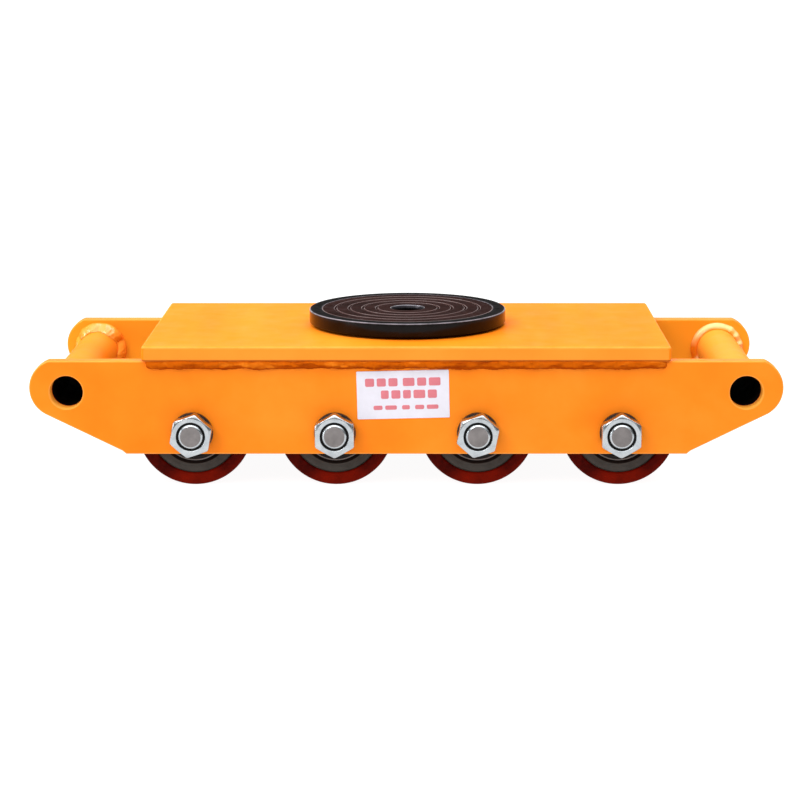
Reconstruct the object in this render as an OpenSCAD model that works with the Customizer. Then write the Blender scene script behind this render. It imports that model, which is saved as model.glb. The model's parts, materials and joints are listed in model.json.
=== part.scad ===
// Eight-wheel load-moving skate with a swivelling load table.
// The skate stands on its wheels: the origin is on the ground under the middle of the frame,
// +X runs along the frame, +Y across it away from the nut side, +Z up. All sizes are millimetres.

/* [Side plates] */
// Length over the rounded ends
frame_len = 580; // [560:5:640]
// Width over the two outer faces
frame_w = 205; // [200:1:230]
// Thickness of each plate
plate_t = 12; // [10:1:14]
// Height of the lower edge above the ground
plate_low = 28; // [25:1:30]
// Height of the upper edge above the ground
plate_high = 101; // [101:1:106]
// Radius of the rounded ends
end_r = 23; // [22:0.5:26]
// Slope of the lower end edges, in degrees
end_slope = 26.2; // [22:0.1:30]

/* [Deck] */
// Length of the deck plate
deck_len = 406; // [396:2:420]
// Thickness of the deck plate
deck_t = 12; // [12:1:14]
// Overhang of the deck past each side plate
deck_over = 4; // [3:0.5:6]
// Thickness of the bolster plate under the turntable
bolster_t = 8; // [6:1:8]
// Length of the bolster plate
bolster_len = 120; // [100:5:160]

/* [Tie tubes] */
// Distance of each tube from the middle of the frame
tie_x = 261.5; // [258:0.5:264]
// Height of the tube axes
tie_z = 76.5; // [74:0.5:78]
// Outer radius
tie_r = 17; // [16:0.5:18]
// Radius of the through bore
tie_bore_r = 12.75; // [12:0.25:13.5]

/* [Wheels] */
// Rolling radius
wheel_r = 45; // [43:0.5:45]
// Thickness of the polyurethane tread
tread_t = 9.5; // [7:0.5:10]
// Distance between neighbouring axles
axle_pitch = 110; // [100:1:112]
// Gap between the two wheels on one axle
wheel_gap = 13; // [10:1:20]
// Gap between a wheel and its side plate
side_gap = 4; // [3:0.5:6]
// Radius of the axle bolts
axle_r = 10; // [9:0.5:10]

/* [Wheel bearings] */
// Outer radius of the ball bearings
brg_r = 26; // [25.5:0.1:26.5]
// Width of the ball bearings
brg_w = 15; // [14:0.5:16]
// Depth of a bearing behind the wheel face
brg_inset = 1; // [0.5:0.1:2]
// Balls in each bearing
brg_balls = 7; // [5:1:8]

/* [Turntable] */
// Radius of the load table
table_r = 79; // [74:1:95]
// Thickness of the load table
table_t = 11; // [10:0.5:12]
// Gap between the deck and the load table
table_gap = 2; // [1.5:0.1:2.5]
// Radius of the grip pad
pad_r = 69; // [64:1:69]
// Thickness of the grip pad
pad_t = 2.5; // [2:0.1:3]
// Radius of the hole in the middle
eye_r = 13.3; // [13:0.1:15]
// Balls in the thrust bearing
thrust_balls = 20; // [12:1:20]

/* [Fasteners] */
// Width across flats of the axle nuts and bolt heads
nut_af = 30; // [28:1:32]
// Height of the axle nuts
nut_t = 12; // [10:0.5:18]
// Height of the axle bolt heads
head_t = 12.5; // [11:0.5:14]
// Thickness of the split spring washers
spring_t = 4; // [3.5:0.1:5]
// Thickness of the flat washers
flat_t = 3; // [2.5:0.1:4]

/* [Label] */
// Width of the label
label_w = 71; // [50:1:80]
// Height of the label
label_h = 37.5; // [25:0.5:38]
// Tilt of the label, in degrees
label_tilt = 1.3; // [0:0.1:3]

/* [Hidden] */
$fn = 96;
side_names = ["front", "rear"];
axle_numbers = [1, 2, 3, 4];
wheel_kinds = ["tread", "hub", "bearing_shells", "bearing_balls"];
FRAME_NODES = [
    "side_plate_front", "side_plate_rear", "deck_plate", "bolster_plate",
    "tie_tube_left", "tie_tube_right", "deck_welds", "tube_welds", "label",
    "axle_bolts", "axle_nuts", "spring_washers", "flat_washers",
    "side_spacers", "middle_spacers", "bearing_sleeves", "bearing_inner_races",
    "thrust_race_lower", "pivot_screw", "pivot_washer", "pivot_nut"
];
TABLE_NODES = ["load_table", "grip_pad", "thrust_race_upper", "thrust_cage", "thrust_ball_ring"];
WHEEL_NODES = [
    for (kind = wheel_kinds) for (side = side_names) for (n = axle_numbers) str(kind, "_", side, "_", n)
];

half_w = frame_w / 2;
inner_w = frame_w - 2 * plate_t;
half_in = inner_w / 2;
deck_top = plate_high + deck_t;
bolster_low = plate_high - bolster_t;

// Rounded end: its centre, where the sloped lower edge leaves the arc, and the small bevel at its
// foot. The upper edge cuts the arc a little below its top.
end_x = frame_len / 2 - end_r;
end_z = plate_high - end_r + 1.5;
slope_x = end_x + end_r * sin(end_slope);
slope_z = end_z - end_r * cos(end_slope);
foot_rise = 2.5;
foot_run = 3;
foot_z = plate_low + foot_rise;
foot_x = slope_x - (slope_z - foot_z) / tan(end_slope);

// Wheels
axle_z = wheel_r;
hub_r = wheel_r - tread_t;
wheel_out = half_in - side_gap;
wheel_in = wheel_gap / 2;
wheel_w = wheel_out - wheel_in;
pocket_depth = brg_w + brg_inset;
brg_out_y = wheel_out - brg_inset - brg_w / 2;
brg_in_y = wheel_in + brg_inset + brg_w / 2;
hub_bore_r = brg_r - 4;

// Ball bearings: pitch circle, balls and the grooves that they run in
brg_pitch_r = (axle_r + brg_r) / 2;
brg_ball_r = 4.55;
brg_groove_r = 4.85;
brg_inner_r = brg_pitch_r - 2.9;
brg_outer_r = brg_pitch_r + 2.9;
shaft_fit = 0.05;

// Turntable and its thrust bearing
table_low = deck_top + table_gap;
table_high = table_low + table_t;
boss_r = 29.5;
boss_low = plate_high + 2;
eye_floor = table_low - 8;
race_in_r = 31;
race_out_r = 42.5;
race_pitch_r = 36.5;
race_low_z = plate_high;
race_high_z = table_low + 3;
race_mid_z = (race_low_z + race_high_z) / 2;
race_gap = 3.2;
thrust_ball_r = 5.1;
thrust_groove_r = 5.4;

// Pivot screw that holds the load table down
pivot_r = 8;
pivot_head_r = 12;
pivot_head_t = 9;
pivot_nut_af = 24;
pivot_nut_t = 15;
pivot_washer_t = 3;
pivot_nut_z = bolster_low - pivot_washer_t - pivot_nut_t;

// Turns of the four nuts and bolt heads about their axles, in degrees
nut_turns = [11, 0, 12, 0];
head_turns = [8, 21, 3, 27];

paint = "#ff9629";
zinc = "#c9ccd0";
dark_steel = "#3a3835";
bearing_steel = "#a9a7a2";
iron = "#4b443e";
polyurethane = "#780f05";
black = "#1b1716";
rubber_brown = "#33201d";
paper = "#f2f2fc";

function axle_x(n) = (n - 2.5) * axle_pitch;
function side_sign(side) = side == "front" ? -1 : 1;

// ---------------------------------------------------------------- helpers

// Turns a shape drawn about +Z so that it lies about +Y
module along_y(y) {
    translate([0, y, 0]) rotate([-90, 0, 0]) children();
}

// Places a shape on every axle
module on_axles() {
    for (n = axle_numbers) translate([axle_x(n), 0, axle_z]) children();
}

module tube(r_out, r_in, h) {
    difference() {
        cylinder(r = r_out, h = h);
        translate([0, 0, -1]) cylinder(r = r_in, h = h + 2);
    }
}

// Hexagon with the corners of both faces turned off at 30 degrees
module chamfered_hex(af, h) {
    corner_r = af / sqrt(3);
    face_r = af / 2 - 0.4;
    drop = (corner_r - face_r) * tan(30);
    intersection() {
        cylinder(r = corner_r, h = h, $fn = 6);
        rotate_extrude()
            polygon([[0, 0], [face_r, 0], [corner_r, drop], [corner_r, h - drop], [face_r, h], [0, h]]);
    }
}

module nut(af, h, bore_r) {
    sink = 1.2;
    difference() {
        chamfered_hex(af, h);
        translate([0, 0, -1]) cylinder(r = bore_r, h = h + 2);
        translate([0, 0, h - sink]) cylinder(r1 = bore_r, r2 = bore_r + sink, h = sink + 0.001);
        translate([0, 0, -0.001]) cylinder(r1 = bore_r + sink, r2 = bore_r, h = sink);
    }
}

// Fillet bead around a tube, standing on z = 0
module ring_bead(r, leg) {
    rotate_extrude()
        polygon([[r, 0], [r + leg, 0], [r + leg * 0.8, leg * 0.38], [r + leg * 0.38, leg * 0.8], [r, leg]]);
}

// ---------------------------------------------------------------- welded frame

module side_outline() {
    difference() {
        union() {
            polygon([
                [-foot_x + foot_run, plate_low], [foot_x - foot_run, plate_low], [foot_x, foot_z],
                [slope_x, slope_z], [end_x, end_z], [end_x, plate_high],
                [-end_x, plate_high], [-end_x, end_z], [-slope_x, slope_z], [-foot_x, foot_z]
            ]);
            for (s = [-1, 1]) translate([s * end_x, end_z]) circle(r = end_r);
        }
        translate([-frame_len, plate_high]) square([2 * frame_len, 40]);
        for (s = [-1, 1]) translate([s * tie_x, tie_z]) circle(r = tie_bore_r);
        for (n = axle_numbers) translate([axle_x(n), axle_z]) circle(r = axle_r + 0.5);
    }
}

module side_plate(outer_y) {
    color(paint) translate([0, outer_y, 0]) rotate([90, 0, 0]) linear_extrude(plate_t) side_outline();
}

module deck_plate() {
    color(paint) difference() {
        translate([-deck_len / 2, -half_w - deck_over, plate_high])
            cube([deck_len, frame_w + 2 * deck_over, deck_t]);
        translate([0, 0, plate_high - 1]) cylinder(r = race_out_r + 1, h = deck_t + 2);
    }
}

module bolster_plate() {
    color(paint) difference() {
        translate([-bolster_len / 2, -half_in, bolster_low]) cube([bolster_len, inner_w, bolster_t]);
        translate([0, 0, bolster_low - 1]) cylinder(r = pivot_r + 0.5, h = bolster_t + 2);
    }
}

module tie_tube(x) {
    color(paint) translate([x, 0, tie_z]) along_y(-half_in) tube(tie_r, tie_bore_r, inner_w);
}

// Long fillets under the deck's overhang, and short ones under the bolster
module deck_welds() {
    run = deck_len - 6;
    toe = 6;
    color(paint) for (s = [0, 1]) mirror([0, s, 0]) {
        translate([-run / 2, 0, 0]) rotate([90, 0, 90]) linear_extrude(run)
            polygon([
                [-half_w, plate_high], [-half_w, plate_high - toe],
                [-half_w - 3, plate_high - toe + 1.5], [-half_w - deck_over - 1.2, plate_high - 1],
                [-half_w - deck_over - 1, plate_high + 1], [-half_w - deck_over, plate_high + 2.2],
                [-half_w - deck_over, plate_high]
            ]);
        translate([-bolster_len / 2 + 4, 0, 0]) rotate([90, 0, 90]) linear_extrude(bolster_len - 8)
            polygon([[-half_in, bolster_low], [-half_in, bolster_low - 4], [-half_in + 4, bolster_low]]);
    }
}

module tube_welds() {
    leg = 5;
    color(paint) for (x = [-tie_x, tie_x]) translate([x, 0, tie_z]) {
        along_y(-half_in) ring_bead(tie_r, leg);
        mirror([0, 1, 0]) along_y(-half_in) ring_bead(tie_r, leg);
    }
}

module label() {
    color(paper) translate([-2.5, -half_w, 75]) rotate([0, -label_tilt, 0])
        translate([-label_w / 2, -0.4, -label_h / 2]) cube([label_w, 0.4, label_h]);
}

// ---------------------------------------------------------------- axles and fasteners

module axle_bolts() {
    head_y = half_w + flat_t;
    end_y = -half_w - spring_t - nut_t - 1;
    color(zinc) on_axles() along_y(end_y) rotate_extrude()
        polygon([
            [0, 0], [axle_r - 2, 0], [axle_r, 1.8], [axle_r, head_y - end_y + 1], [0, head_y - end_y + 1]
        ]);
    color(zinc) for (n = axle_numbers)
        translate([axle_x(n), 0, axle_z]) along_y(head_y) rotate([0, 0, head_turns[n - 1]])
            chamfered_hex(nut_af, head_t);
}

module axle_nuts() {
    color(zinc) for (n = axle_numbers)
        translate([axle_x(n), 0, axle_z]) along_y(-half_w - spring_t - nut_t)
            rotate([0, 0, 30 + nut_turns[n - 1]]) nut(nut_af, nut_t, axle_r + shaft_fit);
}

// Split ring: the slot runs across the section at a slant
module spring_washers() {
    color(dark_steel) on_axles() along_y(-half_w - spring_t) difference() {
        tube(16, axle_r + 0.2, spring_t);
        translate([13.5, 0, spring_t / 2]) rotate([30, 0, 0]) cube([12, 2, 3 * spring_t], center = true);
    }
}

module flat_washers() {
    color(zinc) on_axles() along_y(half_w) tube(18.5, axle_r + 0.5, flat_t);
}

module side_spacers() {
    spacer_w = side_gap + brg_inset;
    color(zinc) on_axles() {
        along_y(-half_in) tube(axle_r + 4, axle_r + shaft_fit, spacer_w);
        along_y(half_in - spacer_w) tube(axle_r + 4, axle_r + shaft_fit, spacer_w);
    }
}

module middle_spacers() {
    spacer_w = wheel_gap + 2 * brg_inset;
    color(zinc) on_axles() along_y(-spacer_w / 2) tube(axle_r + 4, axle_r + shaft_fit, spacer_w);
}

module bearing_sleeves() {
    low = brg_in_y + brg_w / 2;
    high = brg_out_y - brg_w / 2;
    color(zinc) on_axles() for (y = [low, -high])
        along_y(y) tube(axle_r + 4, axle_r + shaft_fit, high - low);
}

// Middle of each of the four bearings on an axle
module on_bearings(sides = [-1, 1]) {
    for (s = sides) for (y = [brg_in_y, brg_out_y]) along_y(s * y) children();
}

module bearing_inner_races() {
    color(bearing_steel) on_axles() on_bearings() rotate_extrude() difference() {
        translate([axle_r + shaft_fit, -brg_w / 2])
            square([brg_inner_r - axle_r - shaft_fit, brg_w]);
        translate([brg_pitch_r, 0]) circle(r = brg_groove_r);
    }
}

// ---------------------------------------------------------------- wheels

module wheel_place(side, n) {
    translate([axle_x(n), 0, axle_z]) children();
}

module tread(side, n) {
    edge = 1.5;
    low = side_sign(side) < 0 ? -wheel_out : wheel_in;
    corner = [for (a = [0:15:90]) [wheel_r - edge + edge * sin(a), edge - edge * cos(a)]];
    far_edge = wheel_w - edge;
    far_corner = [for (a = [90:-15:0]) [wheel_r - edge + edge * sin(a), far_edge + edge * cos(a)]];
    color(polyurethane) wheel_place(side, n) along_y(low) rotate_extrude()
        polygon(concat([[hub_r, 0]], corner, far_corner, [[hub_r, wheel_w]]));
}

module hub(side, n) {
    low = side_sign(side) < 0 ? -wheel_out : wheel_in;
    mouth = 2.2;
    color(iron) wheel_place(side, n) along_y(low) rotate_extrude()
        polygon([
            [hub_bore_r, pocket_depth], [brg_r, pocket_depth], [brg_r, mouth], [brg_r + mouth, 0],
            [hub_r, 0], [hub_r, wheel_w], [brg_r + mouth, wheel_w], [brg_r, wheel_w - mouth],
            [brg_r, wheel_w - pocket_depth], [hub_bore_r, wheel_w - pocket_depth]
        ]);
}

// Outer races of a wheel's two bearings, each with its two sealing discs
module bearing_shells(side, n) {
    seal_t = 0.6;
    seal_in = brg_inner_r + 0.3;
    color(bearing_steel) wheel_place(side, n) on_bearings([side_sign(side)]) rotate_extrude() {
        difference() {
            translate([brg_outer_r, -brg_w / 2]) square([brg_r - brg_outer_r, brg_w]);
            translate([brg_pitch_r, 0]) circle(r = brg_groove_r);
        }
        for (y = [-brg_w / 2 + 0.5, brg_w / 2 - 0.5 - seal_t])
            translate([seal_in, y]) square([brg_outer_r + 0.5 - seal_in, seal_t]);
    }
}

// Balls of a wheel's two bearings, each set in its crown cage
module bearing_balls(side, n) {
    step = 360 / brg_balls;
    color(bearing_steel) wheel_place(side, n) on_bearings([side_sign(side)]) {
        for (i = [0:brg_balls - 1]) rotate([0, 0, i * step]) translate([brg_pitch_r, 0, 0])
            sphere(r = brg_ball_r, $fn = 48);
        difference() {
            translate([0, 0, 1.8]) tube(brg_pitch_r + 1.8, brg_pitch_r - 1.8, 4.2);
            for (i = [0:brg_balls - 1]) rotate([0, 0, i * step]) translate([brg_pitch_r, 0, 0])
                sphere(r = brg_ball_r + 0.1, $fn = 48);
        }
    }
}

// ---------------------------------------------------------------- turntable

module load_table() {
    edge = 1.2;
    color(black) rotate_extrude() polygon([
        [pivot_r + 0.4, boss_low], [boss_r, boss_low], [boss_r, race_high_z],
        [race_out_r + 0.1, race_high_z], [race_out_r + 0.1, table_low],
        [table_r - edge, table_low], [table_r, table_low + edge],
        [table_r, table_high - edge], [table_r - edge, table_high], [pad_r, table_high],
        [pad_r, table_high - pad_t], [eye_r, table_high - pad_t], [eye_r, eye_floor],
        [pivot_r + 0.4, eye_floor]
    ]);
}

// Pad let into the load table, with evenly spaced ring grooves
module grip_pad() {
    groove_w = 1.6;
    grooves = 4;
    first_r = 25;
    pitch = (pad_r - first_r) / grooves;
    color(rubber_brown) rotate_extrude() difference() {
        translate([eye_r, table_high - pad_t]) square([pad_r - eye_r, pad_t]);
        for (i = [0:grooves - 1])
            translate([first_r + i * pitch - groove_w / 2, table_high - 1]) square([groove_w, 2]);
    }
}

module race_half(low, high, in_r) {
    color(bearing_steel) rotate_extrude() difference() {
        translate([in_r, low]) square([race_out_r - in_r, high - low]);
        translate([race_pitch_r, race_mid_z]) circle(r = thrust_groove_r);
    }
}

module thrust_race_lower() {
    race_half(race_low_z, race_mid_z - race_gap, race_in_r);
}

module thrust_race_upper() {
    race_half(race_mid_z + race_gap, race_high_z, boss_r);
}

module thrust_cage() {
    step = 360 / thrust_balls;
    color("#c8a050") translate([0, 0, race_mid_z - 1.2]) difference() {
        tube(race_pitch_r + 5.6, race_pitch_r - 5.6, 2.4);
        for (i = [0:thrust_balls - 1]) rotate([0, 0, i * step]) translate([race_pitch_r, 0, -1])
            cylinder(r = thrust_ball_r + 0.1, h = 5);
    }
}

module thrust_ball_ring() {
    step = 360 / thrust_balls;
    color(bearing_steel) for (i = [0:thrust_balls - 1])
        rotate([0, 0, i * step]) translate([race_pitch_r, 0, race_mid_z])
            sphere(r = thrust_ball_r, $fn = 48);
}

module pivot_screw() {
    head_low = eye_floor + 0.4;
    socket_af = 10;
    color(dark_steel) difference() {
        rotate_extrude() polygon([
            [0, pivot_nut_z - 3], [pivot_r - 1, pivot_nut_z - 3], [pivot_r, pivot_nut_z - 2],
            [pivot_r, head_low], [pivot_head_r, head_low], [pivot_head_r, head_low + pivot_head_t - 1],
            [pivot_head_r - 1, head_low + pivot_head_t], [0, head_low + pivot_head_t]
        ]);
        translate([0, 0, head_low + 4]) cylinder(r = socket_af / sqrt(3), h = 10, $fn = 6);
    }
}

module pivot_washer() {
    color(zinc) translate([0, 0, bolster_low - pivot_washer_t]) tube(15, pivot_r + 0.5, pivot_washer_t);
}

module pivot_nut() {
    color(zinc) translate([0, 0, pivot_nut_z]) nut(pivot_nut_af, pivot_nut_t, pivot_r + shaft_fit);
}

side_plate(-half_w + plate_t);  // side_plate_front
side_plate(half_w);  // side_plate_rear
deck_plate();
bolster_plate();
tie_tube(-tie_x);  // tie_tube_left
tie_tube(tie_x);  // tie_tube_right
deck_welds();
tube_welds();
label();
axle_bolts();
axle_nuts();
spring_washers();
flat_washers();
side_spacers();
middle_spacers();
bearing_sleeves();
bearing_inner_races();
thrust_race_lower();
pivot_screw();
pivot_washer();
pivot_nut();
load_table();
grip_pad();
thrust_race_upper();
thrust_cage();
thrust_ball_ring();
for (side = side_names) for (n = axle_numbers) {
    tread(side, n);
    hub(side, n);
    bearing_shells(side, n);
    bearing_balls(side, n);
}
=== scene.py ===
import json
from math import acos, asin, atan2, cos, degrees, exp, hypot, pi, radians, sin, sqrt, tan

import bmesh
import bpy
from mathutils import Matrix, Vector, noise
from mathutils.geometry import tessellate_polygon


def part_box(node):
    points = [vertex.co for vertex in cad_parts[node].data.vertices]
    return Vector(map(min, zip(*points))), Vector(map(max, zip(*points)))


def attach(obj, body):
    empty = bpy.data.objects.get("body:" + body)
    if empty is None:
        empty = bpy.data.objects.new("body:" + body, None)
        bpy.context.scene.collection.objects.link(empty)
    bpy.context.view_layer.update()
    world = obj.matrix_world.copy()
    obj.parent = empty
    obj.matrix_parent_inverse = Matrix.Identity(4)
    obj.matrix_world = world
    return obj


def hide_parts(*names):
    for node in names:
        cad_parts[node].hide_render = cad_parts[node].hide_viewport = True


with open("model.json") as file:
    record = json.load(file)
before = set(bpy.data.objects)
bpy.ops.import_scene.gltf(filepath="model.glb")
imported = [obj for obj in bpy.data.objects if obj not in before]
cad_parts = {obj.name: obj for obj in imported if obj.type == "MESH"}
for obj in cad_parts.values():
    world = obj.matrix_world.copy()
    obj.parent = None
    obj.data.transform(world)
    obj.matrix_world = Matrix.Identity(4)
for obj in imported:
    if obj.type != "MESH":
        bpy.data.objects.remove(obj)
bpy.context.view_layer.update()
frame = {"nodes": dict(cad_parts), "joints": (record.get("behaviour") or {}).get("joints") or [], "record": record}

# ---- sizes, in metres
MM = 0.001
AXLES = (1, 2, 3, 4)


def disc_radius(node):
    """Half a CAD node's size along X."""
    lo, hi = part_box(node)
    return (hi.x - lo.x) / 2


PLATE_LO, PLATE_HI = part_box("side_plate_front")
PLATE_T = PLATE_HI.y - PLATE_LO.y
HALF_W = -PLATE_LO.y
HALF_IN = HALF_W - PLATE_T
DECK_LO, DECK_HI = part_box("deck_plate")
BOLSTER_LO, BOLSTER_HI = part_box("bolster_plate")
TABLE_LO, TABLE_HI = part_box("load_table")
LABEL_LO, LABEL_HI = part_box("label")

JOINTS = {j["name"]: j for j in frame["joints"]}
TIE_BORE = next(m for m in frame["record"]["mounts"] if m["name"] == "tie_bore_right")
TIE_X, _, TIE_Z = TIE_BORE["pos_m"]
TIE_BORE_R = TIE_BORE["dims"]["r_mm"] * MM
TIE_R = disc_radius("tie_tube_left")
AXLE_X = {n: JOINTS[f"wheel_front_{n}_spin"]["pos_m"][0] for n in AXLES}
AXLE_Z = JOINTS["wheel_front_1_spin"]["pos_m"][2]

# The side plate's outline, as in the CAD
END_R = 23 * MM
END_SLOPE = radians(26.2)
END_RISE = 1.5 * MM
FOOT_RUN, FOOT_RISE = 3 * MM, 2.5 * MM

# Fastener, wheel and bearing sizes that the boxes don't give
FIT = 0.05 * MM
AXLE_R = 10 * MM
AXLE_NUT_FLAT = 15 * MM
NUT_TURNS = (11, 0, 12, 0)
HEAD_TURNS = (38, 51, 33, 57)
WASHER_SPLITS = (40, -18, 150, 75)
BEARING_R = 26 * MM
BEARING_W = 15 * MM
BEARING_INSET = 1 * MM
BEARING_PITCH_R = 18 * MM
BALL_R = 4.55 * MM
GROOVE_R = 4.85 * MM
RACE_SHOULDER = 2.9 * MM
SEAL_R = 24.8 * MM
BALLS = 7
PIVOT_BORE_R = 8.5 * MM
TREAD_LO, TREAD_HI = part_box("tread_front_1")
WHEEL_R, HUB_R = disc_radius("tread_front_1"), disc_radius("hub_front_1")
WHEEL_W = TREAD_HI.y - TREAD_LO.y
WHEEL_MID_Y = (TREAD_LO.y + TREAD_HI.y) / 2
FACE_OUT = WHEEL_W / 2 - BEARING_INSET
BEARING_MID = FACE_OUT - BEARING_W / 2


# ---- mesh helpers
def full_turn(count):
    """Angles that divide a full turn into count steps, in radians."""
    return [2 * pi * k / count for k in range(count)]


def arc(cx, cy, radius, start, end, steps):
    """Points along an arc, angles in degrees, both ends included."""
    angles = [radians(start + (end - start) * k / steps) for k in range(steps + 1)]
    return [(cx + radius * cos(a), cy + radius * sin(a)) for a in angles]


def soften(corners, steps=4):
    """A closed outline from (x, y, radius) corners, each corner rounded to its radius."""
    outline = []
    count = len(corners)
    for i, (x, y, radius) in enumerate(corners):
        here = Vector((x, y))
        back = Vector(corners[i - 1][:2]) - here
        ahead = Vector(corners[(i + 1) % count][:2]) - here
        half = back.angle(ahead) / 2
        if radius <= 0 or half > radians(89):
            outline.append((x, y))
            continue
        reach = min(radius / tan(half), back.length * 0.49, ahead.length * 0.49)
        radius = reach * tan(half)
        centre = here + (back.normalized() + ahead.normalized()).normalized() * radius / sin(half)
        first = here + back.normalized() * reach - centre
        last = here + ahead.normalized() * reach - centre
        turn = atan2(first.x * last.y - first.y * last.x, first.dot(last))
        for k in range(steps + 1):
            c, s = cos(turn * k / steps), sin(turn * k / steps)
            outline.append((centre.x + first.x * c - first.y * s, centre.y + first.x * s + first.y * c))
    return outline


def to_mesh(name, parts, materials, sharp_deg=38, choose=None):
    """A mesh of several (vertices, faces) parts with outward normals, smooth but for edges sharper
    than sharp_deg. choose(face centre) returns the number of the material that a face gets."""
    vertices, faces = [], []
    for part_vertices, part_faces in parts:
        start = len(vertices)
        vertices += [tuple(v) for v in part_vertices]
        faces += [tuple(i + start for i in face) for face in part_faces]
    mesh = bpy.data.meshes.new(f"{name}_mesh")
    mesh.from_pydata(vertices, [], faces)
    bm = bmesh.new()
    bm.from_mesh(mesh)
    bmesh.ops.remove_doubles(bm, verts=bm.verts, dist=1e-7)
    bmesh.ops.recalc_face_normals(bm, faces=bm.faces)
    bm.to_mesh(mesh)
    bm.free()
    mesh.shade_smooth()
    mesh.set_sharp_from_angle(angle=radians(sharp_deg))
    for material in materials:
        mesh.materials.append(material)
    if choose:
        for face in mesh.polygons:
            face.material_index = choose(face.center)
    return mesh


def lathe(profile, segments=96, axis="Y"):
    """Vertices and faces of a closed (radius, height) profile turned about an axis through the origin."""
    vertices, faces, rings = [], [], []
    for radius, height in profile:
        if radius < 1e-7:
            rings.append([len(vertices)] * segments)
            vertices.append((0, 0, height))
            continue
        rings.append(list(range(len(vertices), len(vertices) + segments)))
        vertices += [(radius * cos(a), radius * sin(a), height) for a in full_turn(segments)]
    for i, ring in enumerate(rings):
        after = rings[(i + 1) % len(rings)]
        if ring[0] == ring[1] and after[0] == after[1]:
            continue
        for k in range(segments):
            loop = [ring[k], ring[(k + 1) % segments], after[(k + 1) % segments], after[k]]
            faces.append(tuple(dict.fromkeys(loop)))
    return laid((vertices, faces)) if axis == "Y" else (vertices, faces)


def moved(part, offset):
    """A copy of (vertices, faces), shifted."""
    return [tuple(Vector(v) + Vector(offset)) for v in part[0]], part[1]


def spun(part, degrees):
    """A copy of (vertices, faces), turned about Z."""
    c, s = cos(radians(degrees)), sin(radians(degrees))
    return [(x * c - y * s, x * s + y * c, z) for x, y, z in part[0]], part[1]


def laid(part):
    """A copy of (vertices, faces) drawn about Z, laid down so that its +Z points along +Y."""
    return [(x, z, -y) for x, y, z in part[0]], part[1]


def turned(section, angle):
    """A list of (radius, height) points stood at an angle round the Y axis."""
    return [(r * cos(angle), h, -r * sin(angle)) for r, h in section]


def flipped_y(part):
    """A mirror copy of (vertices, faces), on the other side of the XZ plane."""
    return [(x, -y, z) for x, y, z in part[0]], [tuple(reversed(f)) for f in part[1]]


def at_axles(parts):
    """Each of the parts once on every axle."""
    return [moved(part, (AXLE_X[n], 0, AXLE_Z)) for n in AXLES for part in parts]


def swept(rings, closed):
    """Faces between rings of equal length. An open sweep gets a cap at each end."""
    count = len(rings[0])
    vertices = [p for ring in rings for p in ring]
    faces = []
    for i in range(len(rings) if closed else len(rings) - 1):
        a, b = i * count, ((i + 1) % len(rings)) * count
        for k in range(count):
            m = (k + 1) % count
            faces.append((a + k, a + m, b + m, b + k))
    if not closed:
        last = (len(rings) - 1) * count
        faces.append(tuple(range(count - 1, -1, -1)))
        faces.append(tuple(range(last, last + count)))
    return vertices, faces


def offset_loop(loop, distance):
    """The closed loop moved to its left by distance, with mitred corners."""
    result = []
    for i, p in enumerate(loop):
        here = Vector(p)
        a = (here - Vector(loop[i - 1])).normalized()
        b = (Vector(loop[(i + 1) % len(loop)]) - here).normalized()
        normal_a, normal_b = Vector((-a.y, a.x)), Vector((-b.y, b.x))
        mitre = (normal_a + normal_b).normalized()
        result.append(tuple(here + mitre * distance / max(0.35, mitre.dot(normal_a))))
    return result


def bevelled_plate(outline, holes, low, high, bevel, steps=4):
    """A plate between the heights low and high, with all its edges rounded. The outline runs
    counter-clockwise and the holes clockwise, so that the material is on each loop's left."""
    vertices, faces, caps = [], [], {low: [], high: []}
    for loop in [outline] + holes:
        quarter = [pi / 2 * k / steps for k in range(steps, -1, -1)]
        bottom = [(low + bevel * (1 - sin(a)), bevel * (1 - cos(a))) for a in quarter]
        top = [(high - (h - low), inset) for h, inset in reversed(bottom)]
        rings = []
        for height, inset in bottom + top:
            rings.append(list(range(len(vertices), len(vertices) + len(loop))))
            vertices += [(x, y, height) for x, y in offset_loop(loop, inset)]
        for lower, upper in zip(rings, rings[1:]):
            for k in range(len(loop)):
                m = (k + 1) % len(loop)
                faces.append((lower[k], lower[m], upper[m], upper[k]))
        caps[low].append(rings[0])
        caps[high].append(rings[-1])
    for height in (low, high):
        flat = [i for ring in caps[height] for i in ring]
        polygons = [[Vector(vertices[i][:2] + (0,)) for i in ring] for ring in caps[height]]
        for triangle in tessellate_polygon(polygons):
            faces.append(tuple(flat[i] for i in triangle))
    return vertices, faces


def circle(x, y, radius, count):
    """A clockwise ring of points, as a hole."""
    return arc(x, y, radius, 0, -360 + 360 / count, count - 1)


def rectangle(lo_x, lo_y, hi_x, hi_y, radius, steps=5):
    corners = [(lo_x, lo_y, radius), (hi_x, lo_y, radius), (hi_x, hi_y, radius), (lo_x, hi_y, radius)]
    return soften(corners, steps)


def mirrored(profile):
    """A (radius, height) profile's mirror image below height 0, in an order that continues it."""
    return [(radius, -height) for radius, height in reversed(profile)]


def new_object(name, data):
    obj = bpy.data.objects.new(name, data)
    bpy.context.scene.collection.objects.link(obj)
    return obj


def piece(name, mesh, node, slot, body="frame", location=(0, 0, 0), weighted=False):
    """Links a mesh as an object that rides on a body and stands for a CAD node."""
    obj = new_object(name, mesh)
    obj.location = location
    if weighted:
        obj.modifiers.new("weighted normals", "WEIGHTED_NORMAL").keep_sharp = True
    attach(obj, body)
    if node:
        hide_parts(node)


def add(name, node, slot, parts, materials, sharp_deg=38, choose=None, weighted=False, **place):
    """Makes a mesh of parts and links it as a piece; unless place says otherwise it's the frame's."""
    mesh = to_mesh(node or name, parts, materials, sharp_deg, choose)
    piece(name, mesh, node, slot, weighted=weighted, **place)


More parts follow.
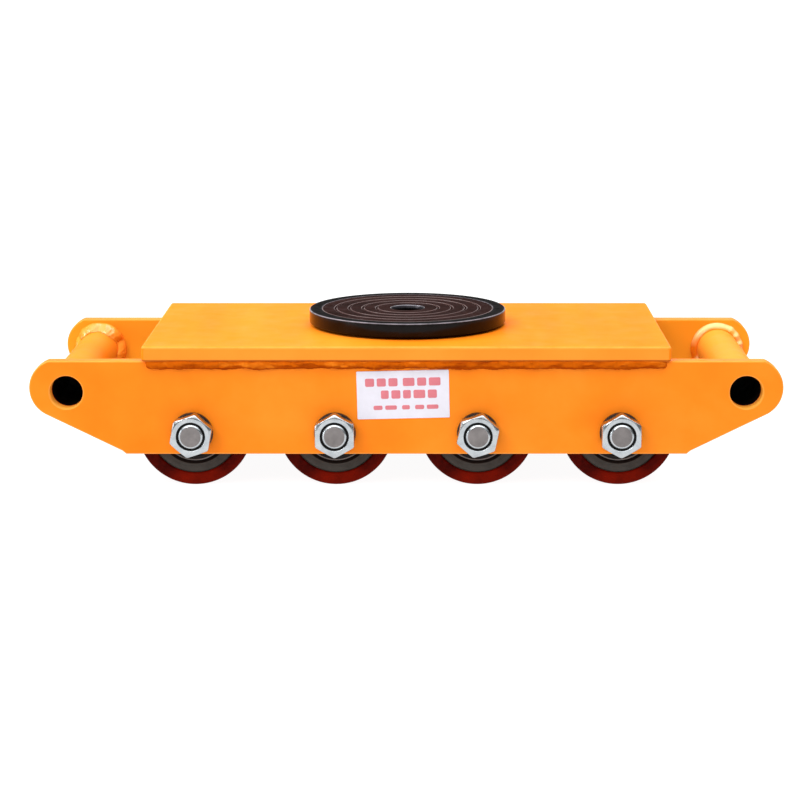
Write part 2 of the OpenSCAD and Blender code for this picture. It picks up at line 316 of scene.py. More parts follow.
# ---- materials
class Nodes:
    """A node tree, with short ways to add nodes to it."""

    def __init__(self, tree):
        self.tree = tree

    def add(self, kind, values=(), **settings):
        node = self.tree.nodes.new(kind)
        for socket, value in dict(values).items():
            node.inputs[socket].default_value = value
        for key, value in settings.items():
            setattr(node, key, value)
        return node

    def link(self, source, target):
        self.tree.links.new(source, target)

    def along_axes(self, vector):
        split = self.add("ShaderNodeSeparateXYZ")
        self.link(vector, split.inputs["Vector"])
        return split.outputs

    def ramp(self, source, *stops):
        """Colours along a value: stops are (position, (r, g, b)) or (position, number)."""
        node = self.add("ShaderNodeValToRGB")
        elements = node.color_ramp.elements
        while len(elements) < len(stops):
            elements.new(0.5)
        for element, (position, value) in zip(elements, stops):
            element.position = position
            element.color = (*value, 1) if isinstance(value, tuple) else (value, value, value, 1)
        self.link(source, node.inputs["Fac"])
        return node.outputs["Color"]


class Material(Nodes):
    """A procedural material, with short ways to add what most materials here need."""

    def __init__(self, name, color, roughness, gloss=0.5, metallic=0.0):
        self.material = bpy.data.materials.new(name)
        self.material.use_nodes = True
        self.material.diffuse_color = (*color, 1)
        super().__init__(self.material.node_tree)
        self.shader = self.tree.nodes["Principled BSDF"].inputs
        self.shader["Base Color"].default_value = (*color, 1)
        self.shader["Metallic"].default_value = metallic
        self.shader["Roughness"].default_value = roughness
        self.shader["Specular IOR Level"].default_value = gloss
        self.position = self.add("ShaderNodeTexCoord").outputs["Object"]

    def noise(self, scale, detail=3.0, roughness=0.55, stretch=(1, 1, 1)):
        """Noise from 0 to 1 over the piece's own position, scale in bumps per metre."""
        mapping = self.add("ShaderNodeMapping", {"Scale": stretch})
        self.link(self.position, mapping.inputs["Vector"])
        values = {"Scale": scale, "Detail": detail, "Roughness": roughness}
        texture = self.add("ShaderNodeTexNoise", values)
        self.link(mapping.outputs["Vector"], texture.inputs["Vector"])
        return texture.outputs["Fac"]

    def rings(self, per_metre, axis, wobble):
        """Turning marks: a sine of the distance from the axis."""
        split = self.along_axes(self.position)
        flat = self.add("ShaderNodeCombineXYZ")
        for name in "XYZ":
            if name != axis:
                self.link(split[name], flat.inputs[name])
        length = self.add("ShaderNodeVectorMath", operation="LENGTH")
        self.link(flat.outputs["Vector"], length.inputs[0])
        turns = self.times(length.outputs["Value"], per_metre * 2 * pi)
        turns = self.math("ADD", turns, self.times(self.noise(180), wobble))
        return self.math("SINE", turns, 0)

    def times(self, a, b):
        return self.math("MULTIPLY", a, b)

    def math(self, operation, a, b):
        node = self.add("ShaderNodeMath", operation=operation)
        for socket, value in zip(node.inputs, (a, b)):
            if isinstance(value, (int, float)):
                socket.default_value = value
            else:
                self.link(value, socket)
        return node.outputs["Value"]

    def mix(self, share, first, second):
        """The first colour (a source) shaded into the second (a plain colour) by share."""
        node = self.add("ShaderNodeMix", data_type="RGBA")
        self.link(share, node.inputs["Factor"])
        colors = [socket for socket in node.inputs if socket.type == "RGBA"]
        self.link(first, colors[0])
        colors[1].default_value = (*second, 1)
        return next(socket for socket in node.outputs if socket.type == "RGBA")

    def normal_along(self, axis):
        """The part of the surface's normal along an axis, from -1 to 1."""
        return self.along_axes(self.add("ShaderNodeNewGeometry").outputs["Normal"])[axis]

    def on_edges(self, axis, strength):
        """About 1 where the surface lies halfway between facing along an axis and facing across it."""
        lean = self.math("POWER", self.math("ABSOLUTE", self.normal_along(axis), 0), 2.0)
        return self.times(self.times(lean, self.math("SUBTRACT", 1.0, lean)), strength)

    def uneven(self, scale, detail, low, high):
        """A colour or a number that wanders from low to high over the surface."""
        return self.ramp(self.noise(scale, detail), (0.3, low), (0.7, high))

    def finish(self, color, roughness, *layers):
        """Links the colour, an uneven roughness and bumps, and returns the material. Layers are
        (height, strength, depth in metres), the first one lowest. A tuple for a height sets noise."""
        self.link(color, self.shader["Base Color"])
        self.link(self.uneven(*roughness), self.shader["Roughness"])
        normal = None
        for height, strength, depth in layers:
            if isinstance(height, tuple):
                height = self.noise(*height)
            node = self.add("ShaderNodeBump", {"Strength": strength, "Distance": depth})
            self.link(height, node.inputs["Height"])
            if normal is not None:
                self.link(normal, node.inputs["Normal"])
            normal = node.outputs["Normal"]
        self.link(normal, self.shader["Normal"])
        return self.material


PAINT = (0.97, 0.238, 0.011)
PAINT_DEEP = (0.94, 0.204, 0.0067)
PAINT_PALE = (0.98, 0.275, 0.02)
# Paler paint for rounded edges, partly thinner paint and partly a painted highlight; also the tint for painted
# light
PAINT_THIN_AND_LIT = (1.0, 0.375, 0.066)
# The weld bead's colours: the paint darkened as painted shade, for beads under the deck's overhang
SHADED_BEAD_PAINT = (0.56, 0.1, 0.0015)
BEAD_PAINTED_SHADE = (0.29, 0.034, 0.0005)
SHADED_BEAD_PALE = (0.8, 0.205, 0.011)


def yellow_paint(name, edge_axis=None, stretch=(1, 1, 1), painted_light=0.0, gloss=0.075, painted_light_colour=PAINT_THIN_AND_LIT):
    """Thick satin paint. edge_axis is the plate's normal: the paint is paler on the rounded edges, partly thinner
    paint and partly a painted highlight, and with edge_axis Z darker where it faces down, a painted shade.
    stretch draws the clouds out along an axis, and a lift takes them all towards a paler tint, which is painted
    light."""
    paints = (PAINT, PAINT_DEEP, PAINT_PALE)
    base, deep, pale = (tuple(a + (b - a) * painted_light for a, b in zip(paint, painted_light_colour)) for paint in paints)
    m = Material(f"yellow_paint_{name}", base, 0.45, gloss)
    cloud = m.ramp(m.noise(14, 5, 0.6, stretch), (0.28, deep), (0.5, base), (0.72, pale))
    if edge_axis:
        # Paler paint on the rounded edges: partly thinner paint, partly a painted highlight
        thin = m.ramp(m.noise(75, 4), (0.25, 0.5), (0.6, 1.0))
        cloud = m.mix(m.times(m.on_edges(edge_axis, 3.8), thin), cloud, PAINT_THIN_AND_LIT)
    if edge_axis == "Z":
        # Painted shade: the deck's paint goes darker where its edges face down
        under = m.ramp(m.times(m.normal_along("Z"), -1.0), (0.1, 0.0), (0.5, 0.75), (0.9, 0.5))
        cloud = m.mix(under, cloud, BEAD_PAINTED_SHADE)
    return m.finish(cloud, (55, 4, 0.36, 0.52),
                    ((22, 2, 0.5, stretch), 0.4, 0.0009), ((620, 2), 0.25, 0.00012))


def shaded_bead_paint(name):
    """Paint over the deck's long weld beads, darkened all over as painted shade under the deck's overhang,
    darker still where they face down, with paler patches.
    """
    lengthwise = (0.3, 1, 1)
    m = Material(f"yellow_paint_{name}", SHADED_BEAD_PAINT, 0.5, 0.01)
    patch = m.ramp(m.noise(75, 4, 0.6, lengthwise), (0.34, BEAD_PAINTED_SHADE), (0.46, SHADED_BEAD_PAINT), (0.58, SHADED_BEAD_PAINT),
                   (0.7, SHADED_BEAD_PALE))
    # Painted shade: darker still where the bead faces down
    down = m.ramp(m.times(m.normal_along("Z"), -1.0), (0.3, 0.0), (0.85, 0.75))
    color = m.mix(down, patch, BEAD_PAINTED_SHADE)
    return m.finish(color, (160, 4, 0.35, 0.6),
                    ((170, 4, 0.6, lengthwise), 0.6, 0.0012), ((620, 2), 0.4, 0.0002))


def collar_paint(name, crest):
    """Glossy, thickly pooled paint over the beads round the tie tubes. Where it faces up it takes the
    crest's colour, a painted highlight."""
    pale, deep = (1.0, 0.42, 0.03), (0.95, 0.18, 0.0033)
    m = Material(f"yellow_paint_{name}", PAINT_PALE, 0.22, 0.45)
    pooled = m.ramp(m.noise(32, 3, 0.5), (0.34, deep), (0.47, PAINT), (0.6, pale))
    # Painted highlight: the crest's paler colour where the bead faces up
    lit_from_above = m.ramp(m.normal_along("Z"), (0.0, 0.0), (0.6, 0.85))
    color = m.mix(lit_from_above, pooled, crest)
    return m.finish(color, (160, 4, 0.17, 0.28), ((90, 2), 0.15, 0.0004), ((620, 2), 0.1, 0.0001))


def zinc(name):
    m = Material(name, (0.47, 0.5, 0.52), 0.24, metallic=1.0)
    color = m.ramp(m.noise(110, 5), (0.3, (0.39, 0.42, 0.445)), (0.5, (0.48, 0.515, 0.54)),
                   (0.72, (0.55, 0.57, 0.58)))
    return m.finish(color, (300, 4, 0.16, 0.34), ((150, 4), 0.35, 0.0004), ((1500, 2), 0.2, 0.00006))


def turned_steel(name, color, roughness, axis, marks=1600, metallic=1.0, dark=0.7, gloss=0.5):
    """Steel or iron with turning marks round an axis and a mottled surface."""
    m = Material(name, color, roughness, gloss, metallic)
    mottled = m.uneven(120, 5, tuple(c * dark for c in color), color)
    return m.finish(mottled, (210, 4, roughness * 0.8, roughness * 1.25),
                    (m.rings(marks, axis, 2.0), 0.35, 0.00006), ((900, 3), 0.25, 0.0001))


def polyurethane(name):
    m = Material(name, (0.13, 0.0025, 0.0004), 0.42, 0.03)
    color = m.ramp(m.noise(34, 4), (0.36, (0.045, 0.0014, 0.0004)), (0.64, (0.2, 0.0062, 0.0003)))
    return m.finish(color, (240, 4, 0.34, 0.52),
                    ((90, 3), 0.2, 0.0004), (m.rings(900, "Y", 1.0), 0.15, 0.00005))


def black_enamel(name, gloss, roughness):
    """Black, grey on the rounded upper rim: partly scuffed, partly a painted highlight."""
    m = Material(name, (0.0033, 0.0029, 0.0029), roughness, gloss)
    base = m.uneven(70, 5, (0.0017, 0.0015, 0.0013), (0.005, 0.0042, 0.0038))
    # Grey on the upper rim's rounding: partly scuffing, partly a painted highlight
    scuff_and_highlight = m.times(m.ramp(m.noise(110, 4), (0.3, 0.45), (0.6, 1.0)), m.on_edges("Z", 3.8))
    lit_from_above = m.ramp(m.normal_along("Z"), (0.05, 0.0), (0.3, 1.0))
    color = m.mix(m.times(scuff_and_highlight, lit_from_above), base, (0.3, 0.275, 0.31))
    return m.finish(color, (160, 4, roughness * 0.8, roughness * 1.3),
                    ((110, 4), 0.3, 0.0004), ((900, 2), 0.2, 0.0001))


def pad_rubber(name):
    m = Material(name, (0.025, 0.011, 0.01), 0.6, 0.005)
    color = m.ramp(m.noise(38, 5), (0.3, (0.0118, 0.004, 0.003)), (0.55, (0.0205, 0.0072, 0.0059)),
                   (0.75, (0.031, 0.0133, 0.0115)))
    return m.finish(color, (200, 5, 0.5, 0.7), ((150, 5), 0.3, 0.0004), ((2600, 2), 0.25, 0.0001))


def plain(name, color, roughness, metallic=0.0, grain=800, gloss=0.4, mottling=0.18):
    """A quiet surface with a little mottling and grain."""
    m = Material(name, color, roughness, gloss, metallic)
    low = tuple(c * (1 - mottling) for c in color)
    high = tuple(min(1.0, c * (1 + mottling / 2)) for c in color)
    mottled = m.uneven(grain / 8, 4, low, high)
    return m.finish(mottled, (grain / 4, 3, roughness * 0.85, roughness * 1.2), ((grain, 3), 0.2, 0.00008))


paint_plate = yellow_paint("plate", "Y")
paint_deck = yellow_paint("deck", "Z", (1, 0.2, 1), gloss=0.01)
# The deck's edge faces: a paler copy of the deck paint, painted light
paint_deck_side_lit = yellow_paint("deck_side", "Z", painted_light=0.3, gloss=0.025)
# The side plates' inner faces: a paler copy of the paint, painted light against the shade between the plates
paint_inside_lit = yellow_paint("inside", painted_light=0.6, gloss=0.015, painted_light_colour=(1.0, 0.4, 0.025))
paint_tube_left = yellow_paint("tube_left", gloss=0.02)
# The right tube's paint is a paler copy of the left tube's, painted light
paint_tube_right_lit = yellow_paint("tube_right", painted_light=0.6, gloss=0.02, painted_light_colour=(1.0, 0.36, 0.04))
# The tie-tube holes' walls: a much paler copy of the paint, painted light inside the holes
paint_mouth_lit = yellow_paint("mouth", painted_light=1.0, gloss=0.05, painted_light_colour=(1.0, 0.46, 0.06))
paint_bead_shaded = shaded_bead_paint("deck_bead")
# The crest colours are painted highlights on the collars' upper sides
paint_collar_left = collar_paint("bead_left", (1.0, 0.33, 0.036))
paint_collar_right = collar_paint("bead_right", (1.0, 0.64, 0.25))
# Bare steel of the tube bores, made near black as painted shade inside the bores
bore_bare_and_shaded = plain("unpainted_bore_and_shade", (0.005, 0.0042, 0.0042), 0.8, grain=600, gloss=0.05)
zinc_steel = zinc("zinc_steel")
end_steel = turned_steel("bolt_end_steel", (0.25, 0.229, 0.225), 0.55, "Y", 1100, 0.35, gloss=0.3)
# Near-black threads and nut bores: partly oil, partly painted shade in the countersinks
thread_oil_and_shade = plain("thread_oil_and_shade", (0.01, 0.01, 0.01), 0.5, metallic=0.2, grain=1500, gloss=0.2)
spring_steel = plain("dark_spring_steel", (0.029, 0.027, 0.025), 0.4, metallic=0.5)
screw_steel = plain("black_oxide_steel", (0.017, 0.017, 0.018), 0.38, metallic=0.5)
race_steel_y = turned_steel("bearing_steel_y", (0.42, 0.39, 0.375), 0.26, "Y")
# The outer races' steel: a darker copy of the bearing steel, painted shade in the hubs' recesses
race_ring_shaded = turned_steel("bearing_ring_steel_shaded", (0.167, 0.142, 0.133), 0.4, "Y", metallic=0.7)
race_steel_z = turned_steel("bearing_steel_z", (0.42, 0.41, 0.4), 0.22, "Z")
# Black seal rubber, also laid on the hubs' mouth chamfers as painted shade
seal_black_and_seam_shade = plain("seal_rubber_and_seam_shade", (0.0067, 0.0058, 0.0058), 0.55, grain=1200, gloss=0.2)
brass = turned_steel("cage_brass", (0.6, 0.39, 0.133), 0.32, "Z", marks=900)
iron = turned_steel("cast_iron", (0.048, 0.041, 0.034), 0.55, "Y", 700, 0.0, 0.62, 0.3)
red_polyurethane = polyurethane("red_polyurethane")
enamel_top = black_enamel("black_enamel_top", 0.0015, 0.38)
enamel_wall = black_enamel("black_enamel_wall", 0.13, 0.17)
rubber = pad_rubber("pad_rubber")
# The groove lips are lighter than the pad: a painted highlight, as well as glossier rubber
rubber_lip_highlight = plain("pad_groove_lips_highlight", (0.08, 0.03, 0.026), 0.34, grain=1500, gloss=0.55)
worn_lip = plain("worn_eye_lip", (0.2, 0.19, 0.215), 0.3, metallic=0.9, grain=2000)
film = plain("label_film", (0.755, 0.735, 0.81), 0.5, grain=1200, gloss=0.1, mottling=0.035)
print_ink = plain("label_print", (0.68, 0.2, 0.235), 0.5, grain=1500, gloss=0.1, mottling=0.06)


# ---- welded frame
def side_outline():
    """The side plate's outline in X and Z, counter-clockwise."""
    low, high, end_x = PLATE_LO.z, PLATE_HI.z, PLATE_HI.x - END_R
    end_z = high - END_R + END_RISE
    slope_x = end_x + END_R * sin(END_SLOPE)
    slope_z = end_z - END_R * cos(END_SLOPE)
    foot_z = low + FOOT_RISE
    foot_x = slope_x - (slope_z - foot_z) / tan(END_SLOPE)
    top_angle = degrees(asin((high - end_z) / END_R))
    end = arc(end_x, end_z, END_R, -90 + degrees(END_SLOPE), top_angle, 40)
    right = [(foot_x - FOOT_RUN, low), (foot_x, foot_z), *end]
    return right + [(-x, z) for x, z in reversed(right)]


def build_side_plates():
    def finish_at(centre):
        # The holes' walls take the paler paint, painted light
        if hypot(abs(centre.x) - TIE_X, centre.z - TIE_Z) < TIE_BORE_R + 0.15 * MM:
            return 2
        # Inner faces take the paler paint, painted light
        return int(abs(centre.y) < HALF_IN + 0.05 * MM)

    holes = [circle(s * TIE_X, TIE_Z, TIE_BORE_R, 72) for s in (-1, 1)]
    holes += [circle(AXLE_X[n], AXLE_Z, AXLE_R + 0.5 * MM, 48) for n in AXLES]
    vertices, faces = bevelled_plate(side_outline(), holes, 0, PLATE_T, 1.3 * MM)
    paints = (paint_plate, paint_inside_lit, paint_mouth_lit)
    for side, start in (("front", -HALF_W), ("rear", HALF_IN)):
        placed = [(x, start + h, z) for x, z, h in vertices]
        node = f"side_plate_{side}"
        add(f"plate_{side}", node, "yellow_paint", [(placed, faces)], paints, 50, finish_at, weighted=True)


def build_deck():
    side_x, side_y = DECK_HI.x - 0.1 * MM, DECK_HI.y - 0.1 * MM

    def finish_at(centre):
        # The deck's edge faces take the paler paint, painted light
        return int(abs(centre.x) > side_x or abs(centre.y) > side_y)

    def slab(lo, hi, corner, opening, edge):
        return bevelled_plate(rectangle(lo.x, lo.y, hi.x, hi.y, corner), [opening], lo.z, hi.z, edge)

    opening = circle(0, 0, disc_radius("thrust_race_lower") + 1 * MM, 128)
    part = slab(DECK_LO, DECK_HI, 3 * MM, opening, 2.3 * MM)
    paints = (paint_deck, paint_deck_side_lit)
    add("deck", "deck_plate", "yellow_paint", [part], paints, 50, finish_at, weighted=True)
    part = slab(BOLSTER_LO, BOLSTER_HI, 1 * MM, circle(0, 0, PIVOT_BORE_R, 48), 1 * MM)
    add("bolster", "bolster_plate", "yellow_paint", [part], [paint_deck], 50, weighted=True)


def build_tie_tubes():
    """The tubes are painted outside; their bores are bare steel, darkened to near black as painted shade."""
    def finish_at(centre):
        return int(hypot(centre.x, centre.z) < TIE_BORE_R + 0.1 * MM)

    wall = [(TIE_BORE_R, -HALF_IN), (TIE_R, -HALF_IN), (TIE_R, HALF_IN), (TIE_BORE_R, HALF_IN)]
    for side, x, paint in (("left", -TIE_X, paint_tube_left), ("right", TIE_X, paint_tube_right_lit)):
        paints = (paint, bore_bare_and_shaded)
        add(f"tube_{side}", f"tie_tube_{side}", "yellow_paint", [lathe(wall)], paints, 50, finish_at,
            location=(x, 0, TIE_Z))


def bumps(point, scale, seed):
    """Smooth noise from -1 to 1 at a point given in metres; scale is the size of a bump in metres."""
    return noise.noise(Vector(point) / scale + Vector((seed, seed * 1.7, -seed)))


def weld_run(length, section, seed, lump, ripple):
    """A fillet bead along X. section is a list of (y, z, how freely the point moves). Towards its
    two ends the bead shrinks into the corner that it fills, next to the section's last point."""
    rings = []
    step = 0.8 * MM
    count = int(length / step)
    cy = (section[0][0] + 2 * section[-1][0]) / 3
    cz = (section[0][1] + 5 * section[-1][1]) / 6
    for i in range(count + 1):
        x = -length / 2 + length * i / count
        end = min(1.0, min(i, count - i) * step / (7 * MM))
        swell = 0.25 + 0.75 * sqrt(end * (2 - end))
        wave = abs(sin(pi * (x / (3.6 * MM) + 0.9 * bumps((x, 0, 0), 11 * MM, seed))))
        droop = 0.9 * MM * bumps((x, 0, 0), 19 * MM, seed + 3)
        ring = []
        for y, z, free in section:
            away = Vector((y - cy, z - cz)).normalized()
            push = lump * bumps((x * 0.55, y, z), 7 * MM, seed)
            push += 0.7 * lump * bumps((x * 0.6, y * 1.6, z * 1.6), 3.2 * MM, seed + 7)
            push = free * (push - ripple * (1 - wave))
            yy = cy + (y - cy) * (1 - free * (1 - swell)) + away.x * push
            zz = cz + (z - cz) * (1 - free * (1 - swell)) + away.y * push - free * droop * (z < cz)
            ring.append((x, yy, zz))
        rings.append(ring)
    return swept(rings, closed=False)


def build_deck_welds():
    lo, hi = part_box("deck_welds")
    # From the toe on the side plate, out under the deck's overhang and a little way up its edge,
    # then back inside the plates. Each point is millimetres out, millimetres up and its freedom.
    outer = (
        (-0.6, -6.4, 0.3), (0.3, -6.2, 0.6), (1.3, -5.8, 0.9), (2.3, -5.2, 1), (3.1, -4.5, 1), (3.8, -3.6, 1),
        (4.2, -2.7, 1), (4.4, -1.8, 1), (4.3, -0.9, 1), (3.9, -0.2, 1), (3.2, 0.4, 0.7), (2.4, 0.9, 0.3),
        (-0.6, 0.9, 0),
    )
    # The same for the small fillet between a side plate's inner face and the bolster's underside
    inner = (
        (0.5, -4, 0.2), (-0.6, -3.6, 0.8), (-1.8, -1.8, 1), (-3.6, -0.6, 0.8), (-4, 0.5, 0.2), (0.5, 0.5, 0),
    )
    run = BOLSTER_HI.x - BOLSTER_LO.x - 8 * MM
    parts = []
    for shape, corner_y, corner_z, length, seeds, lump, ripple in (
        (outer, HALF_W, DECK_LO.z, hi.x - lo.x, (3.0, 11.0), 1.5 * MM, 0.35 * MM),
        (inner, HALF_IN, BOLSTER_LO.z, run, (17.0, 23.0), 0.5 * MM, 0.2 * MM),
    ):
        section = [(corner_y + out * MM, corner_z + up * MM, free) for out, up, free in shape]
        rear, front = (weld_run(length, section, seed, lump, ripple) for seed in seeds)
        parts += [rear, flipped_y(front)]
    add("deck_beads", "deck_welds", "yellow_paint", parts, [paint_bead_shaded], 60)


def ring_bead(leg, lump, seed, crown, along, taper, blobs):
    """A fillet bead round a tie tube, from a plate at y = 0 towards +Y. crown rounds it up from a flat
    fillet towards a quarter-round collar, along draws it out along the tube, and a taper above 1
    runs it out thinly on to the tube. Each blob is an angle, a half-width, a height (or a depth if
    it is negative) and an extra length along the tube."""
    rings = []
    for a in full_turn(240):
        around = (cos(a), sin(a))
        wave = abs(sin(a * 4 + 1.2 * bumps((*around, 0), 0.4, seed)))
        heap = draw = 0.0
        for angle, width, height, length in blobs:
            off = (degrees(a) - angle + 180) % 360 - 180
            share = exp(-((off / width) ** 2))
            heap += height * share
            draw += length * share
        ring = []
        for k in range(1, 12):
            t = pi / 2 * k / 11
            chord = 1 / (cos(t) + sin(t))
            swell = leg * (chord + (1 - chord) * (0.45 + 0.5 * crown))
            place = (*around, k * 0.07)
            push = lump * (bumps(place, 0.6, seed) + 0.35 * bumps(place, 0.3, seed + 4) + 0.25 * (wave - 0.5))
            push += heap * (1 + 0.5 * bumps(place, 0.12, seed + 8))
            reach = swell + push * sin(2 * min(t, pi / 4 + t / 2)) ** 0.5
            out, run = reach * cos(t) ** taper, (along * reach + draw) * sin(t)
            ring.append((TIE_R + max(0.3 * MM, out), max(0.0, run)))
        # The bead curls in a little before it meets the tube
        ring += [(TIE_R - 0.5 * MM, ring[-1][1] - 0.7 * MM), (TIE_R - 0.5 * MM, -0.4 * MM)]
        ring.append((TIE_R + leg * 0.95, -0.4 * MM))
        rings.append([(r * cos(a), h, r * sin(a)) for r, h in ring])
    return swept(rings, closed=True)


def build_tube_welds():
    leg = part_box("tube_welds")[1].z - TIE_Z - TIE_R
    parts = []
    left_blobs = ((120, 34, 1.6 * MM, 2 * MM), (55, 26, 1.4 * MM, 4 * MM), (-16, 20, 2.2 * MM, 9 * MM),
                  (148, 7, -1.3 * MM, 0), (86, 9, -0.8 * MM, -1 * MM), (22, 9, -1.5 * MM, -2 * MM))
    right_blobs = ((213, 9, 1.7 * MM, 2 * MM), (226, 6, 1.2 * MM, 1 * MM), (-8, 9, 1.6 * MM, 2 * MM),
                   (12, 6, 1.2 * MM, 1 * MM), (34, 7, 0.8 * MM, 1 * MM), (54, 8, 1.2 * MM, 0))
    for x, lump, seed, crown, along, taper, blobs in (
        (-TIE_X, 0.45 * MM, 5.0, 0.35, 3.4, 2.0, left_blobs),
        (TIE_X, 0.25 * MM, 9.0, 1.0, 1.25, 1.0, right_blobs),
    ):
        near, far = (ring_bead(leg, lump, s, crown, along, taper, blobs) for s in (seed, seed + 2))
        parts += [moved(near, (x, -HALF_IN, TIE_Z)), moved(flipped_y(far), (x, HALF_IN, TIE_Z))]
    paints = (paint_collar_left, paint_collar_right)
    add("tube_beads", "tube_welds", "yellow_paint", parts, paints, 60, lambda centre: int(centre.x > 0))


def build_label():
    """A plain sticker: pale film with rows of bars in place of print."""
    centre = (LABEL_LO + LABEL_HI) / 2
    half_w, half_h = 35.5 * MM, 18.75 * MM

    def placed(part):
        tilted, faces = spun(part, 1.3)
        return [(centre.x + x, LABEL_LO.y + h, centre.z + z) for x, z, h in tilted], faces

    outline = rectangle(-half_w, -half_h, half_w, half_h, 0.8 * MM)
    sheet = bevelled_plate(outline, [], 0, LABEL_HI.y - LABEL_LO.y, 0.12 * MM, 2)
    add("label_sheet", "label", "label_film", [placed(sheet)], [film], 50, weighted=True)
    # Each row's height on the label, the bars' height and their ends, in millimetres
    rows = (
        (9.8, 6.4, ((-29, -22), (-20, -13), (-11, -4), (0, 9), (11, 18), (20, 29))),
        (0.2, 6.6, ((-17, -11), (-9, -2), (0, 6), (8, 17), (19, 26))),
        (-10.0, 3.4, ((-23, -16), (-14, -5), (-1, 5), (9, 16), (18, 27))),
    )
    bars = []
    for row_z, bar_h, spans in rows:
        low, high = (row_z - bar_h / 2) * MM, (row_z + bar_h / 2) * MM
        for start, end in spans:
            bar = rectangle(start * MM, low, end * MM, high, 1.2 * MM)
            bars.append(placed(bevelled_plate(bar, [], -0.05 * MM, 0.05 * MM, 0.02 * MM, 2)))
    add("label_bars", None, "label_film", bars, [print_ink], 50)


# ---- fasteners
def hex_block(flat, height, bore=0.0, sink=0.0, dish=0.0):
    """A hexagon about Z with its faces turned off at 30 degrees. flat is half the width across flats,
    and the flats lie at multiples of 60 degrees. A block with a bore is a nut; one without is a
    bolt's head, dished on top and hardly turned off below."""
    face_r = flat * 0.965
    slope = tan(radians(30))
    soft = 0.35 * MM
    rings = []

    def even(radius, z):
        rings.append([(radius * cos(a), radius * sin(a), z) for a in full_turn(144)])

    def edged(inset, z_face, sign, down):
        ring = []
        for a in full_turn(144):
            off = (a + pi / 6) % (pi / 3) - pi / 6
            r = min(flat / cos(off), flat / cos(pi / 6) - soft) - inset
            z = z_face - sign * (max(0.0, r - face_r) * slope + down)
            ring.append((r * cos(a), r * sin(a), z))
        rings.append(ring)

    flats = [(face_r - 0.5 * MM, 0), (face_r - 0.1 * MM, 0.03 * MM)]
    if bore:
        flats = [(bore, sink), (bore + sink * 0.95, 0.15 * MM), (bore + sink + 0.2 * MM, 0)] + flats
    for radius, inset in flats:
        even(radius, inset)
    below = -1 if bore else -0.05
    rounding = ((soft, 0.0), (soft * 0.3, soft * 0.3), (0, soft))
    for inset, down in rounding:
        edged(inset, 0, below, down)
    for inset, down in reversed(rounding):
        edged(inset, height, 1, down)
    for radius, inset in reversed(flats):
        even(radius, height - inset)
    if not bore:
        even(face_r * 0.72, height)
        even(face_r * 0.66, height - dish)
    return swept(rings, closed=bool(bore))


def thread_profile(radius, start, end, pitch, depth):
    """Outline points of a thread's crests and roots along an axis, drawn as rings."""
    points = []
    turns = int((end - start) / pitch)
    for k in range(turns):
        h = start + k * pitch
        points += [(radius, h), (radius, h + pitch * 0.12), (radius - depth, h + pitch * 0.5),
                   (radius - depth, h + pitch * 0.62)]
    points.append((radius, start + turns * pitch))
    return points


def axle_distance(centre):
    """Distance from the nearest axle's line."""
    return min(hypot(centre.x - x, centre.z - AXLE_Z) for x in AXLE_X.values())


def build_axle_bolts():
    lo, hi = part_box("axle_bolts")
    under_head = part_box("flat_washers")[1].y
    end = lo.y
    thread_len = 42 * MM
    flat_r, thread_end = AXLE_R - 2.1 * MM, end + thread_len

    def finish_at(centre):
        if centre.y < end + 0.05 * MM and axle_distance(centre) < flat_r:
            return 1
        # The threaded length takes the near-black finish, partly oil, partly painted shade
        return 2 if end + 1.4 * MM < centre.y < thread_end else 0

    shank = [(0, end), (flat_r, end), (flat_r + 0.35 * MM, end + 0.1 * MM),
             (AXLE_R - 0.75 * MM, end + 1.0 * MM), (AXLE_R - 0.55 * MM, end + 1.3 * MM),
             (AXLE_R - 0.4 * MM, end + 1.8 * MM)]
    shank += thread_profile(AXLE_R, end + 2 * MM, thread_end, 2.5 * MM, 1.2 * MM)
    shank += [(AXLE_R, under_head + 0.5 * MM), (0, under_head + 0.5 * MM)]
    head = hex_block(AXLE_NUT_FLAT, hi.y - under_head, dish=0.35 * MM)
    parts = at_axles([lathe(shank)])
    for n, turn in zip(AXLES, HEAD_TURNS):
        parts.append(moved(laid(spun(head, turn)), (AXLE_X[n], under_head, AXLE_Z)))
    add("bolts", "axle_bolts", "zinc_steel", parts, (zinc_steel, end_steel, thread_oil_and_shade), 32, finish_at)


def build_axle_nuts():
    def finish_at(centre):
        # Bores and countersinks take the near-black finish: oil, and painted shade round the bolt ends
        return int(axle_distance(centre) < AXLE_R + 1.25 * MM)

    lo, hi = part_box("axle_nuts")
    nut = hex_block(AXLE_NUT_FLAT, hi.y - lo.y, AXLE_R + FIT, 1.2 * MM)
    parts = [moved(laid(spun(nut, turn)), (AXLE_X[n], lo.y, AXLE_Z)) for n, turn in zip(AXLES, NUT_TURNS)]
    add("nuts", "axle_nuts", "zinc_steel", parts, (zinc_steel, thread_oil_and_shade), 28, finish_at)


def build_spring_washers():
    """Square-section rings, each split at its own angle."""
    lo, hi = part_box("spring_washers")
    section = rectangle(AXLE_R + 0.2 * MM, lo.y, hi.z - AXLE_Z, hi.y, 0.5 * MM, 2)
    parts = []
    for n, split in zip(AXLES, WASHER_SPLITS):
        angles = [radians(split + 4 + 352 * k / 96) for k in range(97)]
        ring = swept([turned(section, a) for a in angles], closed=False)
        parts.append(moved(ring, (AXLE_X[n], 0, AXLE_Z)))
    add("split_washers", "spring_washers", "dark_spring_steel", parts, [spring_steel], 40)


